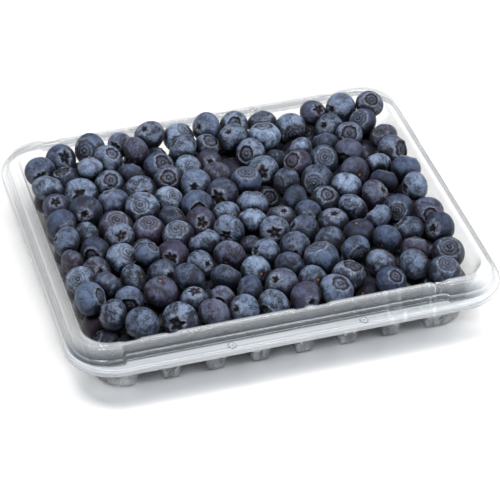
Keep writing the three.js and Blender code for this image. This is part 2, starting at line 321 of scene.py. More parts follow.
def edge_numbers(columns, rows, first):
    """For each point on the grid's edge, the number of the outline point that it shares."""
    numbers = np.full((columns, rows), -1)
    walk = [(i, 0) for i in range(columns)]
    walk += [(columns - 1, j) for j in range(1, rows - 1)]
    walk += [(i, rows - 1) for i in range(columns - 1, -1, -1)]
    walk += [(0, j) for j in range(rows - 2, 0, -1)]
    for place, (i, j) in enumerate(walk):
        numbers[i, j] = first + place
    return numbers


def add_mesh(name, points, faces, smooth=True):
    """A mesh object from points in millimetres."""
    mesh = bpy.data.meshes.new(name)
    mesh.from_pydata((np.asarray(points) * MM).tolist(), [], faces)
    mesh.polygons.foreach_set("use_smooth", [smooth] * len(mesh.polygons))
    piece = bpy.data.objects.new(name, mesh)
    bpy.context.scene.collection.objects.link(piece)
    return piece


# %% Marks on the sheet
# milky, painted crease shade, wrinkled; the strips between the ribs get painted shade
RIB_MARKS = (0.32, 0, 1)
STRIP_MARKS = (0.05, 0.55, 0.3)


def floor_marks(x):
    """Milky, streaky ribs, and strips between them darkened with painted shade, where the berries
    show through.
    """
    rib = channel(x)[:, None]
    return rib * RIB_MARKS + (1 - rib) * STRIP_MARKS


def tray_sheet():
    """Points and faces of the sheet, and how milky, creased and wrinkled each point is."""
    rings = [level_points(level) for level in tray_levels]
    around = len(rings[0])
    points = np.concatenate(rings)
    marks = np.repeat([(*level[7:9], 0) for level in tray_levels], around, 0)
    faces = ring_faces(len(rings), around)
    numbers = edge_numbers(*grid.shape[:2], len(points) - around)
    inner = numbers < 0
    numbers[inner] = len(points) + np.arange(inner.sum())
    marks[-around:] = floor_marks(points[-around:, 0])
    points = np.concatenate([points, grid[inner]])
    marks = np.concatenate([marks, floor_marks(grid[inner][:, 0])])
    faces += grid_faces(numbers)
    return points, faces, marks


def store_vectors(piece, label, values):
    """Keep three numbers with every point of a piece, for its material to read."""
    layer = piece.data.attributes.new(label, "FLOAT_VECTOR", "POINT")
    layer.data.foreach_set("vector", np.asarray(values, np.float32).ravel())


STREAK_STRETCH = 0.03
FRONT_Y = -62
FRONT_FADE = 22
RIGHT_END_X = 82
RIGHT_FADE = 20
CREASE_AT_ENDS = 0.08
MILK_AT_ENDS = 0.15
FLANGE_Z = 27.7
CATCH = (70.5, 76)
CATCH_RAMP = 1
SEAM_MILK = 0.5


def store_marks(piece, points, marks):
    """The marks, fading towards the ends, and a place that runs along the rim for the flow."""
    x, y, z = points.T
    milky, crease_shade, wrinkled = marks.T
    in_front = smooth_step((FRONT_Y - y) / FRONT_FADE)
    in_front *= 1 - smooth_step((x - RIGHT_END_X) / RIGHT_FADE)
    # painted shade along the creases: full in front, faint at the ends and back
    crease_left = CREASE_AT_ENDS + (1 - CREASE_AT_ENDS) * in_front
    crease_shade = crease_shade * np.where(wrinkled > 0, 1, crease_left)
    milky = milky * (MILK_AT_ENDS + (1 - MILK_AT_ENDS) * in_front)
    milky += SEAM_MILK * seam_share(x) * in_front * (1 - wrinkled)
    catch = span(x, *CATCH, CATCH_RAMP) * in_front * (z > FLANGE_Z)
    wrinkled = np.maximum(wrinkled, catch)
    store_vectors(piece, "sheet_marks", np.column_stack([milky, crease_shade, wrinkled]))
    inside = distance_inside(x, y, RIM_LEVELS[0])
    along = (x + y) * STREAK_STRETCH
    store_vectors(piece, "sheet_flow", np.column_stack([along, inside, z]))


points, faces, marks = tray_sheet()
tray = add_mesh("tray_sheet", points, faces)
store_marks(tray, points, marks)
print(f"tray sheet: {len(tray.data.polygons)} faces")

# %% [markdown]
# ## Buttons on the flange
# Small round buttons stand on the flange, two at the front and two at the back. They keep
# stacked trays from sticking together. Each is a shape turned round an axis: a few radii
# with a height for each, and a dimple in the middle.

# %% Buttons
BUTTON_X = 33
BUTTON_INSET = 3.0
BUTTON_STEPS = 24
BUTTON_SECTION = ((2.3, -0.1), (2.1, 0.1), (1.9, 0.45), (1.6, 0.55), (1.0, 0.55), (0.6, 0.35),
                  (0.3, 0.25))
BUTTON_FOOT = 0.3
BUTTON_MILK = 0.7
# painted shade round the foot of each button
BUTTON_FOOT_SHADE = 0.9


def turned_points(section, steps, place):
    """Rings of points round an upright axis, and one point to close them."""
    angle = np.linspace(0, 2 * math.pi, steps, endpoint=False)
    rings = [np.stack([r * np.cos(angle), r * np.sin(angle), np.full(steps, z)], 1)
             for r, z in section]
    rings.append([[0, 0, section[-1][1]]])
    return np.concatenate(rings) + place


def turned_faces(ring_count, steps):
    faces = ring_faces(ring_count, steps)
    last = (ring_count - 1) * steps
    centre = ring_count * steps
    faces += [(last + i, last + (i + 1) % steps, centre) for i in range(steps)]
    return faces


buttons = []
for side_x in (-1, 1):
    for side_y in (-1, 1):
        place = (side_x * BUTTON_X, side_y * (TRAY_DEPTH / 2 - BUTTON_INSET), FLANGE_Z)
        points = turned_points(BUTTON_SECTION, BUTTON_STEPS, place)
        faces = turned_faces(len(BUTTON_SECTION), BUTTON_STEPS)
        buttons.append(add_mesh("button", points, faces))
        low = points[:, 2] < FLANGE_Z + BUTTON_FOOT
        milky = np.full(len(low), BUTTON_MILK)
        marks = np.column_stack([milky, BUTTON_FOOT_SHADE * low, np.zeros(len(low))])
        store_marks(buttons[-1], points, marks)
print(f"{len(buttons)} buttons of {2 * BUTTON_SECTION[0][0]} mm")

# %% Join the tray and give it thickness


def join(target, others):
    """One object from several, named after the first."""
    chosen = [target] + others
    with bpy.context.temp_override(active_object=target, selected_editable_objects=chosen):
        bpy.ops.object.join()
    return target


def apply_modifiers(piece):
    """Swap a piece's mesh for the one that its modifiers make."""
    solved = piece.evaluated_get(bpy.context.evaluated_depsgraph_get())
    mesh = bpy.data.meshes.new_from_object(solved)
    piece.modifiers.clear()
    piece.data = mesh
    return piece


join(tray, buttons)
thickness = tray.modifiers.new("sheet", "SOLIDIFY")
thickness.thickness = SHEET * MM
thickness.offset = -1
apply_modifiers(tray)
tray_size = [round(v / MM, 1) for v in tray.dimensions]
print(f"tray {tray_size} mm, {len(tray.data.polygons)} faces")

# %% [markdown]
# ## Clear plastic
# Clear sheet is three things at once. Light goes straight through most of it, a little is
# scattered where it is milky, and some is mirrored at its surface. So the material mixes
# Transparent and Diffuse shaders, and lays a Glossy one over both. Refraction would be
# slow and noisy, and in a sheet this thin it hardly bends what we see. Layer Weight finds
# where we look along the sheet, and the mirror grows and the tint greys there. The marks
# say where it is milky and wrinkled, and where painted shade darkens its creases and the
# strips between the ribs. Noise drawn out upright gives the wrinkles. A bumpy noise with
# long waves stands for the faint flow lines.

# %% Material helpers


def new_material(name):
    """An empty material and its node tree."""
    material = bpy.data.materials.new(name)
    material.use_nodes = True
    material.node_tree.nodes.clear()
    return material, material.node_tree


def add_node(tree, kind, **settings):
    """A node with its settings. A name with spaces swapped for _ sets an input."""
    node = tree.nodes.new(kind)
    for name, value in settings.items():
        label = name.replace("_", " ")
        if label in node.inputs:
            node.inputs[label].default_value = value
        else:
            setattr(node, name, value)
    return node


def to_surface(tree, shader):
    """Send a shader to the material's surface."""
    out = add_node(tree, "ShaderNodeOutputMaterial")
    tree.links.new(shader, out.inputs["Surface"])


def arithmetic(tree, operation, *values, clamp=False):
    """A Math node whose inputs are numbers or outputs to link."""
    node = add_node(tree, "ShaderNodeMath")
    node.operation = operation
    node.use_clamp = clamp
    for socket, value in zip(node.inputs, values):
        if isinstance(value, (int, float)):
            socket.default_value = value
        else:
            tree.links.new(value, socket)
    return node.outputs[0]


def stretch(tree, value, low, high, to_low=0.0, to_high=1.0):
    """Map low..high to to_low..to_high, easing in and out."""
    node = add_node(tree, "ShaderNodeMapRange")
    node.interpolation_type = "SMOOTHSTEP"
    tree.links.new(value, node.inputs["Value"])
    ends = {"From Min": low, "From Max": high, "To Min": to_low, "To Max": to_high}
    for name, number in ends.items():
        node.inputs[name].default_value = number
    return node.outputs["Result"]


# %% Read and mix colours


def mix_colours(tree, amount, first, second):
    """A colour between two, each given as a colour or as an output to link."""
    mix = add_node(tree, "ShaderNodeMix")
    mix.data_type = "RGBA"
    for socket, value in ((mix.inputs[6], first), (mix.inputs[7], second)):
        if isinstance(value, tuple):
            socket.default_value = (*value, 1)
        else:
            tree.links.new(value, socket)
    tree.links.new(amount, mix.inputs[0])
    return mix.outputs[2]


def read_numbers(tree, label):
    """The three numbers that each point stores under label."""
    stored = add_node(tree, "ShaderNodeAttribute", attribute_name=label)
    parts = add_node(tree, "ShaderNodeSeparateXYZ")
    tree.links.new(stored.outputs["Vector"], parts.inputs[0])
    return stored.outputs["Vector"], parts.outputs


def noise(tree, place, scale, detail, rough=0.5):
    node = add_node(tree, "ShaderNodeTexNoise", Scale=scale, Detail=detail, Roughness=rough)
    tree.links.new(place, node.inputs["Vector"])
    return node.outputs["Fac"]


def bumped(tree, height, strength, distance, below=None):
    """A normal bent by height. Strength is a number or an output, below another normal."""
    bump = add_node(tree, "ShaderNodeBump", Distance=distance)
    if isinstance(strength, float):
        bump.inputs["Strength"].default_value = strength
    else:
        tree.links.new(strength, bump.inputs["Strength"])
    tree.links.new(height, bump.inputs["Height"])
    if below is not None:
        tree.links.new(below, bump.inputs["Normal"])
    return bump.outputs["Normal"]


def mix_shaders(tree, amount, first, second):
    mix = add_node(tree, "ShaderNodeMixShader")
    for socket, value in zip(mix.inputs, (amount, first, second)):
        tree.links.new(value, socket)
    return mix.outputs["Shader"]


# %% What the sheet lets through
CLEAR_THIN = (0.980, 0.980, 0.980)
CLEAR_FULL = (0.900, 0.915, 0.928)
CLEAR_EDGE = (0.56, 0.61, 0.66)
THIN_EDGE = (0.955, 0.955, 0.955)
# painted shade, laid along the sheet's creases and bends and on the strips between the ribs
CREASE_SHADE_COLOUR = (0.31, 0.37, 0.43)


def sheet_tint(tree, marks, facing):
    """What the sheet lets through: less where it is thick or seen along, and darker where painted
    shade lies on its creases.
    """
    tint = mix_colours(tree, marks[0], CLEAR_THIN, CLEAR_FULL)
    along = mix_colours(tree, marks[0], THIN_EDGE, CLEAR_EDGE)
    tint = mix_colours(tree, stretch(tree, facing, 0.5, 1.0), tint, along)
    return mix_colours(tree, marks[1], tint, CREASE_SHADE_COLOUR)


# %% Wrinkles and bumps
UPRIGHT_STRETCH = (1, 1, 0.2)
WRINKLE_SCALE = 420
CRUMPLE = 0.8


def sheet_wrinkles(tree, place):
    """Noise drawn out upright, as the mould stretches the sheet over its ribs."""
    upright = add_node(tree, "ShaderNodeMapping")
    upright.inputs["Scale"].default_value = UPRIGHT_STRETCH
    tree.links.new(place, upright.inputs["Vector"])
    return noise(tree, upright.outputs["Vector"], WRINKLE_SCALE, 2, 0.5)


def sheet_bumps(tree, flow, fine, wrinkles, wrinkled):
    """Long flow lines along the rim, wrinkles under the floor and a fine grain on both."""
    crumple = arithmetic(tree, "MULTIPLY", wrinkled, CRUMPLE)
    crumpled = bumped(tree, wrinkles, crumple, 0.0012)
    wavy = bumped(tree, flow, 0.025, 0.0008, crumpled)
    return bumped(tree, fine, 0.05, 0.0002, wavy)


# %% Mix the plastic
MIRROR_FACING = 0.055
MIRROR_GRAZING = 0.75
MIRROR_WRINKLED = 0.06
GRAZING_POWER = 4
HAZE_LEAST = 0.015
HAZE_MOST = 0.30
HAZE_COLOUR = (0.82, 0.85, 0.89, 1)
GRAIN_SCALE = 700
FLOW_SCALE = 0.3


def clear_plastic():
    material, tree = new_material("clear_plastic")
    flow_place, _ = read_numbers(tree, "sheet_flow")
    _, marks = read_numbers(tree, "sheet_marks")
    flow = noise(tree, flow_place, FLOW_SCALE, 1, 0.4)
    place = add_node(tree, "ShaderNodeTexCoord")
    fine = noise(tree, place.outputs["Object"], GRAIN_SCALE, 2, 0.6)
    wrinkles = sheet_wrinkles(tree, place.outputs["Object"])
    normal = sheet_bumps(tree, flow, fine, wrinkles, marks[2])
    edge = add_node(tree, "ShaderNodeLayerWeight", Blend=0.5)
    tree.links.new(normal, edge.inputs["Normal"])
    through = add_node(tree, "ShaderNodeBsdfTransparent")
    tree.links.new(sheet_tint(tree, marks, edge.outputs["Facing"]), through.inputs["Color"])
    haze = add_node(tree, "ShaderNodeBsdfDiffuse")
    haze.inputs["Color"].default_value = HAZE_COLOUR
    plain = stretch(tree, flow, 0.3, 0.7, 0.8 * HAZE_MOST, 1.2 * HAZE_MOST)
    streaks = stretch(tree, wrinkles, 0.45, 0.62, -HAZE_MOST, 3 * HAZE_MOST)
    streaked = arithmetic(tree, "MULTIPLY_ADD", marks[2], streaks, plain)
    milk = arithmetic(tree, "MULTIPLY_ADD", marks[0], streaked, HAZE_LEAST, clamp=True)
    milky = mix_shaders(tree, milk, through.outputs["BSDF"], haze.outputs["BSDF"])
    gloss = add_node(tree, "ShaderNodeBsdfGlossy")
    tree.links.new(stretch(tree, fine, 0.3, 0.7, 0.07, 0.18), gloss.inputs["Roughness"])
    tree.links.new(normal, gloss.inputs["Normal"])
    grazing = arithmetic(tree, "POWER", edge.outputs["Facing"], GRAZING_POWER)
    base = arithmetic(tree, "MULTIPLY_ADD", marks[2], MIRROR_WRINKLED, MIRROR_FACING)
    mirror = arithmetic(tree, "MULTIPLY_ADD", grazing, MIRROR_GRAZING, base)
    to_surface(tree, mix_shaders(tree, mirror, milky, gloss.outputs["BSDF"]))
    return material


tray.data.materials.clear()
tray.data.materials.append(clear_plastic())
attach(tray, "root")
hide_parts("tray")
print("clear plastic is on the tray")

# %% [markdown]
# ## Pouring the berries
# Real fruit finds its own places: it is poured, shaken and patted level. We let the
# computer do the same. Each berry is a ball with its own size, drawn from a repeatable
# series of numbers. In every pass the balls sink a little, push each other apart and stay
# inside the wall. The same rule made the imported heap, so each real berry lands exactly
# where the simple one is.

# %% Pour
BERRY_COUNT = 280
BERRY_RADIUS = 7.65
BERRY_RADIUS_SPREAD = 1.25
BERRY_CLEARANCE = 0.9
POUR_HEIGHT = 60
HEAP_UNEVEN = 5
BERRY_FLOOR_Z = 12.7
WALL_FOOT = (14, 17, 16)
RIDGE_INSIDE = (9.6, 12.7, 13.7)
DRAW_FACTOR = 48271
DRAW_LIMIT = 2147483647
draw_state = 777


def draw():
    """The next number of a repeatable series between 0 and 1."""
    global draw_state
    draw_state = (draw_state * DRAW_FACTOR) % DRAW_LIMIT
    return draw_state / DRAW_LIMIT


def pour_berries():
    reach_x = TRAY_LENGTH / 2 - WALL_FOOT[0] - BERRY_RADIUS
    reach_y = TRAY_DEPTH / 2 - WALL_FOOT[1] - BERRY_RADIUS
    berries = []
    for i in range(BERRY_COUNT):
        radius = BERRY_RADIUS + BERRY_RADIUS_SPREAD * (draw() + draw() + draw() - 1.5)
        x = reach_x * (2 * draw() - 1)
        y = reach_y * (2 * draw() - 1)
        z = BERRY_FLOOR_Z + BERRY_RADIUS + (POUR_HEIGHT * i) / BERRY_COUNT
        sunk = HEAP_UNEVEN * draw()
        berries.append([x, y, z, radius, sunk])
    return berries


# %% Keep berries inside the wall
RIDGE_Z = 35.5
FOOT_HEIGHT = 11


def wall_at(height):
    """The wall's insets and corner radius at a height. Above the ridge they stay the same."""
    share = max(0, (RIDGE_Z - height) / (RIDGE_Z - FOOT_HEIGHT))
    return [top + (foot - top) * share for top, foot in zip(RIDGE_INSIDE, WALL_FOOT)]


def keep_inside(berry):
    """Move a berry back inside the wall, which leans out towards the top."""
    inset_x, inset_y, corner = wall_at(berry[2])
    room = berry[3] + BERRY_CLEARANCE
    limit_x = TRAY_LENGTH / 2 - inset_x - room
    limit_y = TRAY_DEPTH / 2 - inset_y - room
    berry[0] = max(-limit_x, min(limit_x, berry[0]))
    berry[1] = max(-limit_y, min(limit_y, berry[1]))
    turn = corner - room
    side_x = -1 if berry[0] < 0 else 1
    side_y = -1 if berry[1] < 0 else 1
    past_x = berry[0] * side_x - (limit_x - turn)
    past_y = berry[1] * side_y - (limit_y - turn)
    if past_x > 0 and past_y > 0:
        reach = math.sqrt(past_x * past_x + past_y * past_y)
        if reach > turn:
            berry[0] = side_x * (limit_x - turn + (past_x * turn) / reach)
            berry[1] = side_y * (limit_y - turn + (past_y * turn) / reach)


# %% Settle
SETTLE_PASSES = 220
SETTLE_PULL = 0.3
SHAKE_PASSES = 150
SHAKE = 0.45
HEAP_TOP_Z = 43.2
HEAP_SLOPE_X = 0.02
HEAP_SLOPE_Y = 0.01


def push_apart(berries):
    """Push every two berries apart that overlap, one pair after the other."""
    for i, a in enumerate(berries):
        for b in berries[i + 1:]:
            reach = a[3] + b[3]
            dx = b[0] - a[0]
            if dx > reach or dx < -reach:
                continue
            dy = b[1] - a[1]
            if dy > reach or dy < -reach:
                continue
            dz = b[2] - a[2]
            squared = dx * dx + dy * dy + dz * dz
            if squared >= reach * reach or squared == 0:
                continue
            distance = math.sqrt(squared)
            push = (reach - distance) / distance / 2
            a[0] -= dx * push
            a[1] -= dy * push
            a[2] -= dz * push
            b[0] += dx * push
            b[1] += dy * push
            b[2] += dz * push


def settle(berries):
    for step in range(SETTLE_PASSES):
        shake = SHAKE if step < SHAKE_PASSES else 0
        for berry in berries:
            berry[2] -= SETTLE_PULL
            berry[0] += shake * (2 * draw() - 1)
            berry[1] += shake * (2 * draw() - 1)
        push_apart(berries)
        for berry in berries:
            level = HEAP_TOP_Z - HEAP_SLOPE_X * berry[0] + HEAP_SLOPE_Y * berry[1]
            highest = level - berry[3] - berry[4]
            lowest = BERRY_FLOOR_Z + berry[3]
            berry[2] = max(lowest, min(highest, berry[2]))
            keep_inside(berry)
    return berries


berries = settle(pour_berries())
widths = [2 * berry[3] for berry in berries]
print(f"{len(berries)} berries, {min(widths):.1f} to {max(widths):.1f} mm wide")

# %% [markdown]
# ## The shape of a blueberry
# A blueberry is a slightly flattened ball. At one end sits the crown, what is left of the
# flower: a round pit with five little leaves that stand round it, lie flat, fold over it
# or open like a star. So there are four kinds, and no two crowns are torn alike. At the
# other end is a small dimple with the scar of the stalk. We describe one end as rings from
# the middle outwards. Each ring has a radius, a rise above the plain skin, how much the
# five lobes push the radius in and out and lift the rim, and how much of it is pit or rim,
# which the material reads later. All sizes are shares of the berry's own radius.

# %% Crowns
# radius, rise, lobe on radius, lobe on rise, pit, rim
OPEN_CROWN = (
    (0.035, -0.07, 0, 0, 0.2, 0.8),
    (0.075, -0.105, 0, 0, 0.9, 0),
    (0.16, -0.08, 0.006, 0, 0.3, 0.35),
    (0.24, -0.095, 0.006, 0, 0.6, 0.1),
    (0.3, -0.115, 0.01, 0.006, 1, 0),
    (0.335, -0.02, 0.014, 0.018, 0.6, 0.4),
    (0.365, 0.036, 0.016, 0.028, 0, 1),
    (0.405, 0.024, 0.01, 0.014, 0, 0.6),
    (0.46, 0, 0, 0, 0, 0),
)
FLAT_CROWN = (
    (0.03, -0.02, 0, 0, 0, 1),
    (0.07, -0.055, 0, 0, 0.9, 0),
    (0.15, -0.05, 0, 0, 0.1, 0.4),
    (0.21, -0.06, 0, 0, 0.6, 0),
    (0.265, -0.045, 0, 0, 0.1, 0.4),
    (0.33, -0.05, 0.006, 0, 0.5, 0.1),
    (0.39, -0.012, 0.01, 0.008, 0.2, 0.6),
    (0.425, 0.028, 0.012, 0.012, 0, 1),
    (0.47, 0, 0, 0, 0, 0.1),
)
STAR_CROWN = (
    (0.04, -0.09, 0, 0, 0.6, 0.4),
    (0.08, -0.115, 0.01, 0, 1, 0),
    (0.14, -0.105, 0.05, 0, 1, 0),
    (0.2, -0.07, 0.09, 0, 0.9, 0.1),
    (0.245, -0.02, 0.1, 0.012, 0.6, 0.6),
    (0.29, 0.022, 0.085, 0.02, 0.1, 1),
    (0.345, 0.026, 0.05, 0.016, 0, 0.7),
    (0.395, 0.01, 0.02, 0.006, 0.1, 0.2),
    (0.45, 0, 0, 0, 0, 0),
)
FOLDED_CROWN = (
    (0.05, -0.11, 0.01, 0, 1, 0),
    (0.09, -0.12, 0.02, 0, 1, 0),
    (0.13, -0.06, 0.035, 0.02, 0.8, 0.2),
    (0.175, 0, 0.05, 0.035, 0.2, 0.8),
    (0.23, 0.02, 0.05, 0.045, 0, 1),
    (0.285, 0.012, 0.045, 0.04, 0.1, 0.8),
    (0.335, 0.02, 0.035, 0.025, 0, 0.6),
    (0.38, 0.006, 0.015, 0.008, 0.2, 0.2),
    (0.44, 0, 0, 0, 0, 0),
)
# the stalk's end: radius, rise, scar, pit
STALK_END = (
    (0.4, 0, 0, 0),
    (0.26, -0.025, 0, 0),
    (0.15, -0.065, 0, 0.7),
    (0.105, -0.08, 0.1, 0.8),
    (0.08, -0.062, 1, 0),
    (0.03, -0.085, 0.6, 0.3),
)
ROUND_CROWNS_WIDER = 1.14
BERRY_SEGMENTS = 40
SKIN_RINGS = 11
WOBBLE = 0.07
LOBE_REACH = 0.6
LOBE_LIFT = 0.7
CRINKLE_REACH = 0.016
CRINKLE_LIFT = 0.026
rng = np.random.default_rng(20)
around = np.linspace(0, 2 * math.pi, BERRY_SEGMENTS, endpoint=False)


def crinkle():
    """Small random ups and downs round a ring, each like its neighbours."""
    rough = rng.normal(size=BERRY_SEGMENTS)
    return 0.6 * rough + 0.4 * (np.roll(rough, 1) + np.roll(rough, -1))


def crown_rings(crown, flat, width):
    """Rings of one crown, each as radius, height, pit and rim for every segment."""
    phase = rng.uniform(0, 2 * math.pi)
    torn = sum(rng.uniform(0.1, 0.45) * np.sin(n * around + rng.uniform(0, 6.3))
               for n in (2, 3, 7, 9))
    lobes = np.cos(5 * around + phase) + torn
    depth = rng.uniform(0.8, 1.3)
    rings = []
    for radius, rise, lobe_radius, lobe_rise, pit, rim in crown:
        dry = rim + 0.25 * pit
        reach = radius + radius * WOBBLE * torn + lobe_radius * lobes * LOBE_REACH
        reach = (reach + CRINKLE_REACH * dry * crinkle()) * width
        lift = rise * depth + lobe_rise * lobes * LOBE_LIFT + CRINKLE_LIFT * dry * crinkle()
        height = flat * np.sqrt(1 - np.minimum(reach, 0.99) ** 2) + lift
        pits = np.clip(pit + 0.25 * dry * crinkle(), 0, 1)
        rims = np.clip(rim + 0.35 * dry * crinkle(), 0, 1)
        rings.append((reach, height, pits, rims, 0))
    return rings


# %% Skin and stalk end


def skin_rings(flat, first_radius, last_radius):
    """Plain skin between the crown and the stalk's end."""
    start = math.asin(first_radius)
    end = math.pi - math.asin(last_radius)
    bare = np.zeros(BERRY_SEGMENTS)
    rings = []
    for angle in np.linspace(start, end, SKIN_RINGS + 2)[1:-1]:
        reach = np.full(BERRY_SEGMENTS, math.sin(angle))
        height = np.full(BERRY_SEGMENTS, flat * math.cos(angle))
        rings.append((reach, height, bare, bare, 0))
    return rings


def stalk_rings(flat):
    rings = []
    bare = np.zeros(BERRY_SEGMENTS)
    for radius, rise, scar, pit in STALK_END:
        height = np.full(BERRY_SEGMENTS, -flat * math.sqrt(1 - radius * radius) - rise)
        rings.append((np.full(BERRY_SEGMENTS, radius), height, bare + pit, bare, scar))
    return rings


def berry_shape(crown):
    """Points of one berry of radius 1, with its pit, rim and scar shares."""
    flat = rng.choice((rng.uniform(0.74, 0.86), rng.uniform(0.86, 0.98)), p=(0.7, 0.3))
    width = rng.uniform(1.15, 1.55)
    if crown in (OPEN_CROWN, FLAT_CROWN):
        width *= ROUND_CROWNS_WIDER
    rings = crown_rings(crown, flat, width)
    rings += skin_rings(flat, crown[-1][0] * width + 0.02, STALK_END[0][0])
    rings += stalk_rings(flat)
    reach = np.array([ring[0] for ring in rings])
    height = np.array([ring[1] for ring in rings])
    dent = 1 + 0.03 * np.sin(2 * around + rng.uniform(0, 6.3)) * rng.uniform(0, 1)
    dent = dent + 0.015 * np.sin(3 * around + rng.uniform(0, 6.3))
    reach = reach * dent * 1.03
    points = np.stack([reach * np.cos(around), reach * np.sin(around), height], -1)
    zones = [np.array([ring[2] for ring in rings]), np.array([ring[3] for ring in rings]),
             np.array([np.full(BERRY_SEGMENTS, ring[4]) for ring in rings])]
    points = points.reshape(-1, 3)
    zones = np.stack(zones, -1).reshape(-1, 3)
    top = [[0, 0, points[:BERRY_SEGMENTS, 2].mean() + 0.01]]
    bottom = [[0, 0, points[-BERRY_SEGMENTS:, 2].mean()]]
    points = np.concatenate([points, top, bottom])
    zones = np.concatenate([zones, [[1, 0, 0]], [[0, 0, 1]]])
    return points, zones


def skin_grain(shape):
    """For each point: its direction round the axis, stretched, and its turn from the crown."""
    reach = np.maximum(np.hypot(shape[:, 0], shape[:, 1]), 1e-4)
    turn = np.arctan2(reach, shape[:, 2])
    return np.stack([shape[:, 0] / reach * 5, shape[:, 1] / reach * 5, turn], 1)


def berry_faces():
    """Faces of any berry: rings from crown to stalk, with a fan at each end."""
    ring_count = len(OPEN_CROWN) + SKIN_RINGS + len(STALK_END)
    quads = [face[::-1] for face in ring_faces(ring_count, BERRY_SEGMENTS)]
    top = ring_count * BERRY_SEGMENTS
    last = top - BERRY_SEGMENTS
    fans = [(i, (i + 1) % BERRY_SEGMENTS, top) for i in range(BERRY_SEGMENTS)]
    fans += [(last + (i + 1) % BERRY_SEGMENTS, last + i, top + 1) for i in range(BERRY_SEGMENTS)]
    return quads, fans


# %% [markdown]
# ## Turning and joining the berries
# Each berry gets its own turn, with its crown more often up and to the front than down, as
# on the real heap. Berries with the same kind of crown are joined in one mesh. Every point
# also stores where it is on its own berry, which zone it is in, and three numbers drawn for
# the whole berry, so that one material can give each berry its own bloom. We measure too
# how near each point is to the next berry and how deep it lies in the heap, so that the
# skin can be given painted shade there: darker in the crevices and low in the heap.

# %% Turn a berry and find where it is rubbed
CROWN_LEAN = (-0.2, -0.65, 1.05)


def random_turn():
    """A turn with the crown's axis mostly up and to the front."""
    axis = rng.normal(size=3) + CROWN_LEAN
    axis /= np.linalg.norm(axis)
    side = np.cross(axis, rng.normal(size=3))
    side /= np.linalg.norm(side)
    return np.stack([side, np.cross(axis, side), axis], 1)


# painted shade: berries deep in the heap lose bloom, and points near the next berry are marked for
# darker skin
DEEP_WAX_SHADE = 0.5
DEEP = 12
DEEP_START = 0.4
NEAR_SHADE_REACH = 3.2
all_berries = np.array([berry[:4] for berry in berries])


def near_berry_shade(points, middle, radius):
    """Painted shade between berries: 1 where a point touches the next berry, 0 beyond
    NEAR_SHADE_REACH.
    """
    apart = np.linalg.norm(all_berries[:, :3] - middle, axis=1)
    near = all_berries[(apart < radius + all_berries[:, 3] + NEAR_SHADE_REACH) & (apart > 0)]
    gap = np.linalg.norm(points[:, None] - near[:, :3], axis=2) - near[:, 3]
    return np.clip(1 - gap.min(axis=1) / NEAR_SHADE_REACH, 0, 1)


# %% Place the berries


def berry_heap(name, crown, members):
    """One mesh of all berries that share a kind of crown."""
    quads, fans = berry_faces()
    points, faces, places, zones, moods, grains, shade_mark_rows = [], [], [], [], [], [], []
    count = 0
    for x, y, z, radius, _ in members:
        shape, zone = berry_shape(crown)
        points.append(shape @ random_turn().T * radius + (x, y, z))
        # painted shade: how near each point is to the next berry, and how deep it lies in the heap
        shade_marks = near_berry_shade(points[-1], (x, y, z), radius)
        depth = np.clip((HEAP_TOP_Z - points[-1][:, 2]) / DEEP - DEEP_START, 0, 1)
        shade_mark_rows.append(np.column_stack([shade_marks, depth, np.zeros(len(shade_marks))]))
        places.append(shape + rng.uniform(-50, 50, 3))
        zones.append(zone)
        mood = rng.uniform(0, 1, 3)
        # painted shade: a berry deep in the heap keeps less bloom, so it is darker
        mood[0] *= 1 - DEEP_WAX_SHADE * min(1, max(0, HEAP_TOP_Z - z - radius) / DEEP)
        moods.append(np.repeat([mood], len(shape), 0))
        grains.append(skin_grain(shape))
        faces += [tuple(n + count for n in face) for face in quads + fans]
        count += len(shape)
    piece = add_mesh(name, np.concatenate(points), faces)
    for label, values in (("berry_place", places), ("berry_zone", zones), ("berry_mood", moods),
                          ("berry_grain", grains), ("berry_shade_painted", shade_mark_rows)):
        store_vectors(piece, label, np.concatenate(values))
    triangles = sum(len(p.vertices) - 2 for p in piece.data.polygons)
    print(f"{name}: {len(members)} berries, {triangles} triangles")
    return piece


# name, crown, share of the berries
CROWN_KINDS = (
    ("berries_open_crown", OPEN_CROWN, 0.30),
    ("berries_flat_crown", FLAT_CROWN, 0.22),
    ("berries_folded_crown", FOLDED_CROWN, 0.30),
    ("berries_star_crown", STAR_CROWN, 0.18),
)
kinds = rng.choice(len(CROWN_KINDS), len(berries), p=[share for *_, share in CROWN_KINDS])
heap_pieces = [
    berry_heap(name, crown, [b for b, kind in zip(berries, kinds) if kind == number])
    for number, (name, crown, _) in enumerate(CROWN_KINDS)
]

# %% [markdown]
# ## Blueberry skin
# The skin itself is almost black, between blue and purple. What we see is the bloom on it,
# a thin pale wax that fingers and other berries rub off in patches. So the material starts
# from the dark skin and mixes slate blue over it, paler on some berries and mauve on a few.
# How much wax is left comes from soft noise, from fine streaks and flecks and from the
# berry's own drawn numbers. Near the next berry and deep in the heap the wax is cut and the
# colour pulled towards near black: painted shade in the crevices, which the pit gets too.
# The pit is brown, the rim of the crown is dry and pale, and the scar is a small tan dot.

# %% Skin
SKIN_BLUE = (0.004, 0.007, 0.020)
SKIN_PURPLE = (0.017, 0.007, 0.022)
BLOOM_BLUE = (0.046, 0.086, 0.205)
BLOOM_PALE = (0.500, 0.660, 0.960)
BLOOM_MAUVE = (0.078, 0.082, 0.170)
PIT_BROWN = (0.016, 0.011, 0.012)
PIT_RUST = (0.150, 0.050, 0.018)
RIM_PALE = (0.22, 0.28, 0.39)
RIM_TAN = (0.20, 0.095, 0.045)
SCAR_TAN = (0.34, 0.15, 0.045)
# painted shade: near black laid over the skin between berries, deep in the heap and in the pit
DEEP_SHADE_COLOUR = (0.002, 0.002, 0.005)
RIPPLES = 70
MAUVE_SHARE = 0.55


# %% Build the skin


